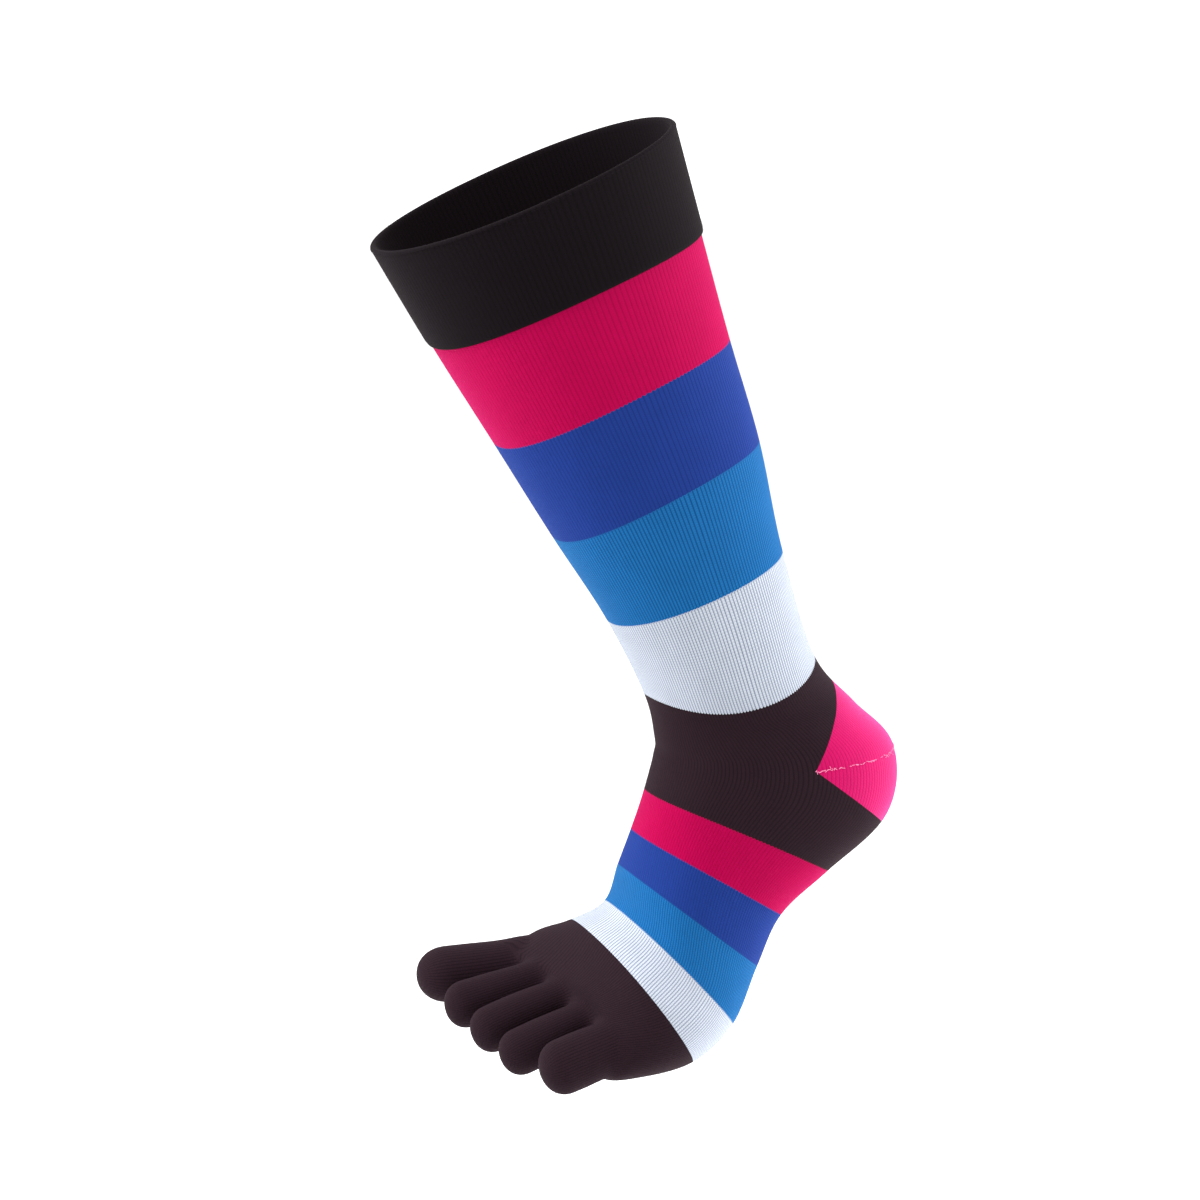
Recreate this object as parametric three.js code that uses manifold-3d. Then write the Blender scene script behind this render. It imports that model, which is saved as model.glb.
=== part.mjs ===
// A left toe sock in striped jersey knit, in the form that it has when worn.
// Millimetres, +Z up. The origin is the centre of the leg opening. The toes point along -X,
// the outer side of the foot faces -Y, and the sole slopes down to the ball of the foot.
import * as THREE from "three";
import { mergeVertices } from "three/addons/utils/BufferGeometryUtils.js";
import Module from "manifold-3d";

const wasm = await Module();
wasm.setup();

// Driving sizes of the leg
const OPENING_DEPTH = 116; // front to back at the leg opening
const OPENING_WIDTH = 114; // side to side at the leg opening
const LEG_DROP = 187; // from the opening down to the middle of the ankle's upper edge
const LEG_SETBACK = 82; // how far that edge's middle lies behind the opening's
const CUFF_PROUD = 1.1; // how far the doubled cuff stands out from the leg

// Driving sizes of the foot
const FOOT_DROP = 125; // from the ankle's upper edge down to the toe roots
const FOOT_REACH = 75; // from the ankle's upper edge forward to the toe roots
const HEEL_DEPTH = 95; // from the front of the ankle to the back of the heel
const BALL_WIDTH = 100; // across the foot at the ball

// Driving sizes of the toes
const TOE_LENGTH = 43; // of the big toe, from the web to its tip
const TOE_THICKNESS = 23; // of the big toe, sole to top
const TOE_SPREAD = 0.8 * BALL_WIDTH; // from the outer side of the little toe to the middle of the big toe

// Driving sizes of the knit
const KNIT_THICKNESS = 1.5;
const CUFF_THICKNESS = 2.6; // two layers and the elastic between them
const GAP = 0.3; // between touching pieces

// Fineness of the faces
const SIDES = 32; // round the leg and the foot
const TOE_SIDES = 18;
const ROUND_STEPS = 4; // round the tip of a toe

// Sections from the opening down to the ankle. drop is a share of LEG_DROP and back of LEG_SETBACK,
// both from the opening. depth is a share of OPENING_DEPTH and width of OPENING_WIDTH. sag, a share
// of OPENING_WIDTH, is how far the sides of the course hang below its front and back.
const LEG_SECTIONS = [
  { name: "opening", drop: 0.0, back: 0.0, tilt: 23.5, depth: 1.0, width: 1.0, sag: 0.0 },
  { name: "cuff_end", drop: 0.203, back: 0.203, tilt: 23.2, depth: 0.912, width: 0.9, sag: -0.026 },
  { name: "pink_end", drop: 0.405, back: 0.416, tilt: 24.5, depth: 0.816, width: 0.791, sag: -0.03 },
  { name: "royal_end", drop: 0.602, back: 0.628, tilt: 25.5, depth: 0.731, width: 0.686, sag: -0.026 },
  { name: "sky_end", drop: 0.802, back: 0.82, tilt: 22.1, depth: 0.612, width: 0.56, sag: -0.002 },
  { name: "white_end", drop: 0.99, back: 0.995, tilt: 12.0, depth: 0.574, width: 0.487, sag: 0.076 },
];

// Sections from the ankle to the toes. drop is a share of FOOT_DROP and ahead of FOOT_REACH, both
// from the ankle's upper edge. depth is a share of HEEL_DEPTH, width and sag of BALL_WIDTH. roll, in
// degrees, raises the big toe's side.
const FOOT_SECTIONS = [
  { name: "heel_top", drop: 0.134, ahead: -0.137, tilt: 8.2, depth: 0.828, width: 0.596, sag: 0.0, roll: 0 },
  { name: "heel_middle", drop: 0.226, ahead: -0.248, tilt: -0.9, depth: 0.99, width: 0.644, sag: 0.0, roll: 0 },
  { name: "heel_base", drop: 0.346, ahead: -0.227, tilt: -15.2, depth: 1.008, width: 0.652, sag: 0.0, roll: 0 },
  { name: "ankle_end", drop: 0.479, ahead: -0.04, tilt: -26.0, depth: 0.825, width: 0.638, sag: -0.02, roll: 0 },
  { name: "foot_pink_end", drop: 0.602, ahead: 0.124, tilt: -31.7, depth: 0.684, width: 0.655, sag: -0.01, roll: 0 },
  { name: "foot_royal_end", drop: 0.732, ahead: 0.224, tilt: -38.5, depth: 0.655, width: 0.748, sag: 0.0, roll: 0 },
  { name: "foot_sky_end", drop: 0.876, ahead: 0.328, tilt: -48.3, depth: 0.636, width: 0.88, sag: 0.0, roll: 0 },
  { name: "foot_white_end", drop: 0.954, ahead: 0.533, tilt: -56.3, depth: 0.62, width: 0.99, sag: 0.0, roll: 2 },
  { name: "ball", drop: 0.979, ahead: 0.78, tilt: -73, depth: 0.437, width: 0.985, sag: 0.0, roll: 9 },
  { name: "toe_roots", drop: 0.998, ahead: 1.0, tilt: -87, depth: 0.275, width: 0.905, sag: 0.0, roll: 12 },
  { name: "past_the_webs", drop: 1.01, ahead: 1.2, tilt: -92, depth: 0.205, width: 0.83, sag: 0.0, roll: 12 },
];

// The heel pocket, seen from the side, is the part of the tube behind two straight edges that meet
// at its corner. Places are shares of HEEL_DEPTH behind, and of FOOT_DROP below, the ankle's upper edge.
const HEEL_CORNER = { back: 0.235, drop: 0.25 };
const HEEL_UPPER_EDGE = { back: 0.41, drop: 0.026 };
const HEEL_LOWER_EDGE = { back: 0.62, drop: 0.47 };

// The webs between the toes lie in one upright plane. Its middle is a share of FOOT_REACH ahead of
// the ankle's upper edge, and it turns back towards the little toe by so many degrees.
const WEB_AHEAD = 0.955;
const WEB_TURN = 13.9;

// Toes. Each axis runs from its root through its knuckle to the middle of its rounded tip. ahead is
// a share of TOE_LENGTH in front of the web plane's middle, across a share of TOE_SPREAD towards the
// inner side of the foot, and drop a share of TOE_LENGTH below the toe roots' level. width and
// height are shares of TOE_THICKNESS.
const TOES = [
  {
    name: "big_toe", width: 1.04, height: 0.94,
    root: { ahead: -0.43, across: 0.39, drop: -0.31 },
    knuckle: { ahead: 0.21, across: 0.445, drop: -0.2 },
    tip: { ahead: 0.7, across: 0.465, drop: -0.17 },
  },
  {
    name: "second_toe", width: 0.7, height: 0.8,
    root: { ahead: -0.45, across: 0.135, drop: -0.34 },
    knuckle: { ahead: 0.19, across: 0.162, drop: -0.16 },
    tip: { ahead: 0.69, across: 0.172, drop: -0.05 },
  },
  {
    name: "third_toe", width: 0.69, height: 0.79,
    root: { ahead: -0.47, across: -0.06, drop: -0.25 },
    knuckle: { ahead: 0.13, across: -0.045, drop: -0.08 },
    tip: { ahead: 0.57, across: -0.04, drop: 0.07 },
  },
  {
    name: "fourth_toe", width: 0.68, height: 0.78,
    root: { ahead: -0.54, across: -0.24, drop: -0.15 },
    knuckle: { ahead: 0.01, across: -0.252, drop: 0.02 },
    tip: { ahead: 0.43, across: -0.25, drop: 0.17 },
  },
  {
    name: "little_toe", width: 0.78, height: 0.92,
    root: { ahead: -0.72, across: -0.44, drop: -0.05 },
    knuckle: { ahead: -0.25, across: -0.47, drop: 0.07 },
    tip: { ahead: 0.18, across: -0.487, drop: 0.19 },
  },
];

// Yarn colours
const BLACK = 0x2a2226;
const PINK = 0xd3085a;
const ROYAL_BLUE = 0x2b449f;
const SKY_BLUE = 0x2177bd;
const WHITE = 0xc9d1dc;

// A cross-section is a little fuller than an ellipse: 2 would be an ellipse, more is squarer.
const OVAL_EXPONENT = 2.15;

const sideways = new THREE.Vector3(0, 1, 0);

function legSection(row) {
  return {
    name: row.name,
    x: row.back * LEG_SETBACK,
    z: -row.drop * LEG_DROP,
    tilt: row.tilt,
    depth: row.depth * OPENING_DEPTH,
    width: row.width * OPENING_WIDTH,
    sag: row.sag * OPENING_WIDTH,
    roll: 0,
  };
}

function footSection(row) {
  return {
    name: row.name,
    x: LEG_SETBACK - row.ahead * FOOT_REACH,
    z: -LEG_DROP - row.drop * FOOT_DROP,
    tilt: row.tilt,
    depth: row.depth * HEEL_DEPTH,
    width: row.width * BALL_WIDTH,
    sag: row.sag * BALL_WIDTH,
    roll: row.roll,
  };
}

const sections = [...LEG_SECTIONS.map(legSection), ...FOOT_SECTIONS.map(footSection)];
const columns = ["x", "z", "tilt", "depth", "width", "sag", "roll"];

function station(name) {
  return sections.findIndex((section) => section.name === name);
}

// One value on the smooth curve through four neighbouring rows, u from 0 to 1 between b and c.
function smooth(a, b, c, d, u) {
  const linear = (c - a) * u;
  const square = (2 * a - 5 * b + 4 * c - d) * u * u;
  const cube = (3 * b - a - 3 * c + d) * u * u * u;
  return 0.5 * (2 * b + linear + square + cube);
}

// The section at any place along the sock: whole numbers are the tables' rows.
function sectionAt(place) {
  const last = sections.length - 1;
  const first = Math.min(Math.floor(place), last - 1);
  const u = place - first;
  const rows = [-1, 0, 1, 2].map((step) => sections[THREE.MathUtils.clamp(first + step, 0, last)]);
  const result = {};
  for (const column of columns) {
    result[column] = smooth(...rows.map((row) => row[column]), u);
  }
  return result;
}

// The closed ring of points of one course, moved along the sock and outwards by so much.
function ring(place, alongUp, outward) {
  const section = sectionAt(place);
  const tilt = THREE.MathUtils.degToRad(section.tilt);
  const roll = THREE.MathUtils.degToRad(section.roll);
  const back = new THREE.Vector3(Math.cos(tilt), 0, Math.sin(tilt));
  const up = new THREE.Vector3(-Math.sin(tilt), 0, Math.cos(tilt));
  const middle = new THREE.Vector3(section.x, 0, section.z).addScaledVector(up, alongUp);
  const across = sideways.clone().applyAxisAngle(up, roll);
  const halfDepth = section.depth / 2 + outward;
  const halfWidth = section.width / 2 + outward;
  const points = [];
  for (let side = 0; side < SIDES; side += 1) {
    const angle = (2 * Math.PI * side) / SIDES;
    const toBack = Math.sign(Math.cos(angle)) * Math.abs(Math.cos(angle)) ** (2 / OVAL_EXPONENT);
    const toSide = Math.sign(Math.sin(angle)) * Math.abs(Math.sin(angle)) ** (2 / OVAL_EXPONENT);
    points.push(
      middle
        .clone()
        .addScaledVector(back, halfDepth * toBack)
        .addScaledVector(across, halfWidth * toSide)
        .addScaledVector(up, -section.sag * toSide * toSide),
    );
  }
  return points;
}

function geometryOf(points, triangles) {
  const geometry = new THREE.BufferGeometry();
  const position = new Float32Array(points.flatMap((point) => [point.x, point.y, point.z]));
  geometry.setAttribute("position", new THREE.BufferAttribute(position, 3));
  geometry.setIndex(triangles);
  return geometry;
}

// Faces between one ring and the next, for rings that run down the sock.
function band(first, second, sides) {
  const triangles = [];
  for (let side = 0; side < sides; side += 1) {
    const next = (side + 1) % sides;
    triangles.push(first + side, second + side, second + next);
    triangles.push(first + side, second + next, first + next);
  }
  return triangles;
}

// A wall: rings down its outside, then up its inside, joined at both ends.
function wall(outside, inside) {
  const rings = [...outside, ...inside.toReversed()];
  const sides = rings[0].length;
  const triangles = rings.flatMap((_, index) => {
    const next = (index + 1) % rings.length;
    return band(index * sides, next * sides, sides);
  });
  return geometryOf(rings.flat(), triangles);
}

// A solid through rings, closed by a flat fan at each end.
function solid(rings) {
  const sides = rings[0].length;
  const points = rings.flat();
  const triangles = [];
  for (let index = 0; index + 1 < rings.length; index += 1) {
    triangles.push(...band(index * sides, (index + 1) * sides, sides));
  }
  const ends = [rings[0], rings[rings.length - 1]];
  ends.forEach((end, which) => {
    const middle = end.reduce((sum, point) => sum.add(point), new THREE.Vector3()).divideScalar(sides);
    const start = which === 0 ? 0 : (rings.length - 1) * sides;
    points.push(middle);
    for (let side = 0; side < sides; side += 1) {
      const next = (side + 1) % sides;
      const pair = which === 0 ? [start + side, start + next] : [start + next, start + side];
      triangles.push(points.length - 1, ...pair);
    }
  });
  return geometryOf(points, triangles);
}

function toManifold(geometry) {
  const bare = geometry.clone();
  bare.deleteAttribute("normal");
  bare.deleteAttribute("uv");
  const merged = mergeVertices(bare);
  return new wasm.Manifold(
    new wasm.Mesh({
      numProp: 3,
      vertProperties: new Float32Array(merged.attributes.position.array),
      triVerts: new Uint32Array(merged.index.array),
    }),
  );
}

function toGeometry(manifold) {
  const mesh = manifold.getMesh();
  const geometry = new THREE.BufferGeometry();
  geometry.setAttribute("position", new THREE.BufferAttribute(new Float32Array(mesh.vertProperties), 3));
  geometry.setIndex(Array.from(mesh.triVerts));
  return geometry;
}

// Places from one row of the tables to another, with so many steps between neighbouring rows.
function places(from, to, steps) {
  const count = (to - from) * steps;
  return Array.from({ length: count + 1 }, (_, index) => from + index / steps);
}

// Rings between two rows, drawn in by half a gap at each end that meets another piece.
function ringsBetween(from, to, steps, outward, drawIn = GAP / 2) {
  const along = places(from, to, steps);
  return along.map((place, index) => {
    const atTop = index === 0 ? -drawIn : 0;
    const atBottom = index === along.length - 1 ? drawIn : 0;
    return ring(place, atTop + atBottom, outward);
  });
}

function stripe(from, to, steps) {
  const outside = ringsBetween(station(from), station(to), steps, 0);
  const inside = ringsBetween(station(from), station(to), steps, -KNIT_THICKNESS);
  return wall(outside, inside);
}

// The cuff is folded over at the top and stands proud of the leg, with a rounded lower lip.
function cuff() {
  const top = station("opening");
  const bottom = station("cuff_end");
  const fold = CUFF_THICKNESS / 2;
  const middleLine = CUFF_PROUD - fold;
  const rounding = [0, 30, 60, 90].map((angle) => THREE.MathUtils.degToRad(angle));
  const foldRings = (sign) =>
    rounding.map((angle) => ring(top, -fold + fold * Math.cos(angle), middleLine + sign * fold * Math.sin(angle)));
  const lipDrop = CUFF_PROUD;
  const outside = [
    ...foldRings(1).slice(1),
    ring((top + bottom) / 2, 0, CUFF_PROUD),
    ring(bottom, GAP / 2 + lipDrop, CUFF_PROUD),
    ring(bottom, GAP / 2 + lipDrop / 3, CUFF_PROUD - lipDrop / 3),
    ring(bottom, GAP / 2, 0),
  ];
  const inside = [
    ...foldRings(-1),
    ring((top + bottom) / 2, 0, CUFF_PROUD - CUFF_THICKNESS),
    ring(bottom, GAP / 2, CUFF_PROUD - CUFF_THICKNESS),
  ];
  return wall(outside, inside);
}

// A block that fills the heel pocket's wedge, made bigger or smaller all round by so much.
function heelWedge(bigger) {
  const at = ({ back, drop }) => new THREE.Vector2(LEG_SETBACK + back * HEEL_DEPTH, -LEG_DROP - drop * FOOT_DROP);
  const corner = at(HEEL_CORNER);
  const upper = at(HEEL_UPPER_EDGE).sub(corner).normalize();
  const lower = at(HEEL_LOWER_EDGE).sub(corner).normalize();
  const bisector = upper.clone().add(lower).normalize();
  const halfAngle = Math.acos(upper.dot(bisector));
  const tip = corner.clone().addScaledVector(bisector, -bigger / Math.sin(halfAngle));
  const reach = 2 * HEEL_DEPTH;
  const shape = new THREE.Shape([
    tip,
    tip.clone().addScaledVector(lower, reach),
    tip.clone().addScaledVector(bisector, 2 * reach),
    tip.clone().addScaledVector(upper, reach),
  ]);
  const geometry = new THREE.ExtrudeGeometry(shape, { depth: 2 * BALL_WIDTH, bevelEnabled: false });
  geometry.rotateX(Math.PI / 2);
  geometry.translate(0, BALL_WIDTH, 0);
  return toManifold(geometry);
}

function ankleAndHeel() {
  const tube = toManifold(stripe("white_end", "ankle_end", 2));
  return {
    ankle: toGeometry(tube.subtract(heelWedge(GAP / 2))),
    heelPocket: toGeometry(tube.intersect(heelWedge(-GAP / 2))),
  };
}

// A block that fills everything behind the web plane, moved forward by so much.
function behindWebs(forward) {
  const size = 4 * BALL_WIDTH;
  const geometry = new THREE.BoxGeometry(size, size, size);
  geometry.translate(size / 2 - forward, 0, 0);
  geometry.rotateZ(THREE.MathUtils.degToRad(WEB_TURN));
  geometry.translate(webMiddle().x, 0, webMiddle().z);
  return toManifold(geometry);
}

function webMiddle() {
  return new THREE.Vector3(LEG_SETBACK - WEB_AHEAD * FOOT_REACH, 0, -LEG_DROP - FOOT_DROP);
}

function toePoint({ ahead, across, drop }) {
  return webMiddle().add(new THREE.Vector3(-ahead * TOE_LENGTH, across * TOE_SPREAD, -drop * TOE_LENGTH));
}

// A toe's closed tube with a round tip, made smaller all round by so much.
function toeSolid(toe, smaller) {
  const curve = new THREE.CatmullRomCurve3([toePoint(toe.root), toePoint(toe.knuckle), toePoint(toe.tip)]);
  const halfWidth = (toe.width * TOE_THICKNESS) / 2 - smaller;
  const halfHeight = (toe.height * TOE_THICKNESS) / 2 - smaller;
  const oval = (middle, along, scale) => {
    const side = sideways.clone().addScaledVector(along, -sideways.dot(along)).normalize();
    const above = side.clone().cross(along);
    return Array.from({ length: TOE_SIDES }, (_, index) => {
      const angle = (2 * Math.PI * index) / TOE_SIDES;
      return middle
        .clone()
        .addScaledVector(side, halfWidth * scale * Math.cos(angle))
        .addScaledVector(above, halfHeight * scale * Math.sin(angle));
    });
  };
  const rings = [0, 0.35, 0.7, 1].map((u) => oval(curve.getPoint(u), curve.getTangent(u), 1));
  const end = curve.getPoint(1);
  const ahead = curve.getTangent(1);
  for (let step = 1; step < ROUND_STEPS; step += 1) {
    const angle = (Math.PI / 2) * (step / ROUND_STEPS);
    const middle = end.clone().addScaledVector(ahead, halfWidth * Math.sin(angle));
    rings.push(oval(middle, ahead, Math.cos(angle)));
  }
  return toManifold(solid(rings));
}

// The forefoot runs up to the web plane, and opens into each toe.
function forefootAndToes() {
  const from = station("foot_white_end");
  const to = station("past_the_webs");
  const drawIn = { outside: GAP / 2, inside: 0 };
  let outside = toManifold(solid(ringsBetween(from, to, 2, 0, drawIn.outside))).intersect(behindWebs(-GAP / 2));
  let inside = toManifold(solid([
    ring(from, KNIT_THICKNESS, -KNIT_THICKNESS),
    ...ringsBetween(from, to, 2, -KNIT_THICKNESS, drawIn.inside).slice(1),
  ])).intersect(behindWebs(-KNIT_THICKNESS));
  const toes = new Map();
  for (const toe of TOES) {
    const skin = toeSolid(toe, 0);
    const hollow = toeSolid(toe, KNIT_THICKNESS);
    toes.set(toe.name, toGeometry(skin.subtract(hollow).subtract(behindWebs(GAP / 2))));
    outside = outside.add(skin.intersect(behindWebs(-GAP / 2)));
    inside = inside.add(hollow);
  }
  return { forefoot: toGeometry(outside.subtract(inside)), toes };
}

function piece(name, geometry, color) {
  const flat = geometry.index ? geometry.toNonIndexed() : geometry;
  flat.computeVertexNormals();
  const material = new THREE.MeshStandardMaterial({ color, roughness: 0.95, metalness: 0 });
  const mesh = new THREE.Mesh(flat, material);
  mesh.name = name;
  return mesh;
}

const { ankle, heelPocket } = ankleAndHeel();
const { forefoot, toes } = forefootAndToes();

const leg = new THREE.Group();
leg.add(
  piece("cuff", cuff(), BLACK),
  piece("leg_stripe_pink", stripe("cuff_end", "pink_end", 2), PINK),
  piece("leg_stripe_royal", stripe("pink_end", "royal_end", 2), ROYAL_BLUE),
  piece("leg_stripe_sky", stripe("royal_end", "sky_end", 2), SKY_BLUE),
  piece("leg_stripe_white", stripe("sky_end", "white_end", 2), WHITE),
);

const heel = new THREE.Group();
heel.add(piece("ankle", ankle, BLACK), piece("heel_pocket", heelPocket, PINK));

const foot = new THREE.Group();
foot.add(
  piece("foot_stripe_pink", stripe("ankle_end", "foot_pink_end", 2), PINK),
  piece("foot_stripe_royal", stripe("foot_pink_end", "foot_royal_end", 2), ROYAL_BLUE),
  piece("foot_stripe_sky", stripe("foot_royal_end", "foot_sky_end", 2), SKY_BLUE),
  piece("foot_stripe_white", stripe("foot_sky_end", "foot_white_end", 2), WHITE),
  piece("forefoot", forefoot, BLACK),
);
for (const [name, geometry] of toes) {
  foot.add(piece(name, geometry, BLACK));
}

const sock = new THREE.Group();
sock.add(leg, heel, foot);

export default sock;
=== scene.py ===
"""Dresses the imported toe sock: striped jersey knit with a doubled cuff, a heel pocket and five toes.

Every shape is worked out in millimetres in the frame's own axes (toes along -X, outer side of the
foot towards -Y, +Z up, origin at the centre of the leg opening) and becomes metres in its mesh.
"""

import logging
import math
from dataclasses import dataclass, field, replace
from enum import Enum

import bmesh
import bpy
import numpy as np
from mathutils import Matrix, Vector
from mathutils.bvhtree import BVHTree


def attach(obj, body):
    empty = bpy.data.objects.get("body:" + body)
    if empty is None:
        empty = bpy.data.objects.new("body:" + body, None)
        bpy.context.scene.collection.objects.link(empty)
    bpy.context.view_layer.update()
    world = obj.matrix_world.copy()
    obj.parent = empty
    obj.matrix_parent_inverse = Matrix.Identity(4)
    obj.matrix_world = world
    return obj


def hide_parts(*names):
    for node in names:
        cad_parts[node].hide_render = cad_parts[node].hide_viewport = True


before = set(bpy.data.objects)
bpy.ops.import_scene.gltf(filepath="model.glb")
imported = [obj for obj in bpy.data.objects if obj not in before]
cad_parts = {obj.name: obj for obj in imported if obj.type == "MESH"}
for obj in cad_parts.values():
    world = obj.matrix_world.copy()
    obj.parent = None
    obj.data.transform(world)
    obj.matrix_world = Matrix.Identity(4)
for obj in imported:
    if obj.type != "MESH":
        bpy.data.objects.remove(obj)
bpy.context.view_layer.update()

LOG = logging.getLogger("toe_sock")
MM = 0.001
KNIT_THICKNESS = 1.5
WALES_ROUND = 180
COLUMNS_PER_WALE = 2
COURSE = 0.9
KNIT_MAP = "knit"
OUTWARD = "outward"
OVAL_EXPONENT = 2.15
FULL_TURN = 2 * math.pi
MIX_FACTOR, MIX_FIRST, MIX_SECOND, MIX_RESULT = 0, 6, 7, 2

Solid = tuple[np.ndarray, list[list[int]]]


class Side(Enum):
    """A side of the foot, as the sign of Y."""

    OUTER = -1
    INNER = 1


def linear(colour: str) -> tuple[float, float, float, float]:
    """Turns an sRGB hex colour into linear RGBA.

    Args:
        colour: a colour such as "#d3085a".

    Returns:
        Red, green and blue in linear light, and alpha 1.
    """
    channels = [int(colour[start : start + 2], 16) / 255 for start in (1, 3, 5)]
    red, green, blue = (c / 12.92 if c <= 0.04045 else ((c + 0.055) / 1.055) ** 2.4 for c in channels)
    return (red, green, blue, 1.0)


def add_node(
    tree: bpy.types.NodeTree, kind: str, inputs: dict[str | int, object] | None = None, **settings: object
) -> bpy.types.Node:
    """Adds one node, with its settings and what feeds it.

    Args:
        tree: the node tree that the node joins.
        kind: the node's type, such as "ShaderNodeMath".
        inputs: for an input's name or number, the socket that feeds it or its plain value.
        settings: the node's own properties.

    Returns:
        The new node.
    """
    node = tree.nodes.new(kind)
    for name, value in settings.items():
        setattr(node, name, value)
    for name, value in (inputs or {}).items():
        if isinstance(value, bpy.types.NodeSocket):
            tree.links.new(value, node.inputs[name])
        else:
            node.inputs[name].default_value = value
    return node


def link(name: str, data: bpy.types.ID) -> bpy.types.Object:
    """Puts a new object with the given data into the scene.

    Args:
        name: the object's name.
        data: its mesh, camera or light.

    Returns:
        The object.
    """
    made = bpy.data.objects.new(name, data)
    bpy.context.scene.collection.objects.link(made)
    return made


def values_of(
    items: bpy.types.bpy_prop_collection, name: str, width: int, kind: type = float
) -> np.ndarray:
    """Reads one property of every item.

    Args:
        items: the items, such as a mesh's vertices.
        name: the property's name.
        width: how many numbers it has.
        kind: the numbers' type.

    Returns:
        One row for each item.
    """
    values = np.empty(len(items) * width, kind)
    items.foreach_get(name, values)
    return values.reshape(-1, width)


def unit(vectors: np.ndarray) -> np.ndarray:
    """The same directions at length 1, or 0 where there is none."""
    return vectors / (np.linalg.norm(vectors, axis=-1, keepdims=True) + 1e-12)


def signed_power(values: np.ndarray, power: float) -> np.ndarray:
    """Raises sizes to a power and keeps their signs."""
    return np.sign(values) * np.abs(values) ** power


def corners_of(faces: list[list[int]]) -> np.ndarray:
    """The corner numbers of all the faces, one face after another."""
    return np.concatenate([np.asarray(face) for face in faces])


def closed_rings(rings: np.ndarray) -> Solid:
    """Joins rings into a solid, closed by one face at each end.

    Args:
        rings: rings by sides by 3.

    Returns:
        The points and the faces.
    """
    count, sides = rings.shape[:2]
    faces = []
    for ring in range(count - 1):
        near, far = ring * sides, (ring + 1) * sides
        for side in range(sides):
            beside = (side + 1) % sides
            faces.append([near + side, far + side, far + beside, near + beside])
    faces.append(list(range(sides)))
    faces.append(list(range(count * sides - 1, (count - 1) * sides - 1, -1)))
    return rings.reshape(-1, 3), faces


def joined(solids: list[Solid]) -> Solid:
    """Puts solids together in one list of points and one of faces.

    Args:
        solids: the points and the faces of each.

    Returns:
        All the points and all the faces.
    """
    points = np.concatenate([own for own, _ in solids])
    starts = np.cumsum([0] + [len(own) for own, _ in solids]).tolist()
    faces = [
        [corner + start for corner in face] for start, (_, own) in zip(starts, solids) for face in own
    ]
    return points, faces


def cut_along(
    mesh: bpy.types.Mesh, planes: list[tuple[np.ndarray, np.ndarray]], clear_outer: bool = False
) -> None:
    """Cuts a mesh along planes.

    Args:
        mesh: the mesh, in metres, which is changed.
        planes: points of the planes and their directions, in millimetres.
        clear_outer: whether what lies in front of each plane goes away.
    """
    cut = bmesh.new()
    cut.from_mesh(mesh)
    for point, direction in planes:
        bmesh.ops.bisect_plane(
            cut,
            geom=cut.verts[:] + cut.edges[:] + cut.faces[:],
            plane_co=Vector(point * MM),
            plane_no=Vector(direction),
            clear_outer=clear_outer,
        )
    cut.to_mesh(mesh)
    cut.free()


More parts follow.
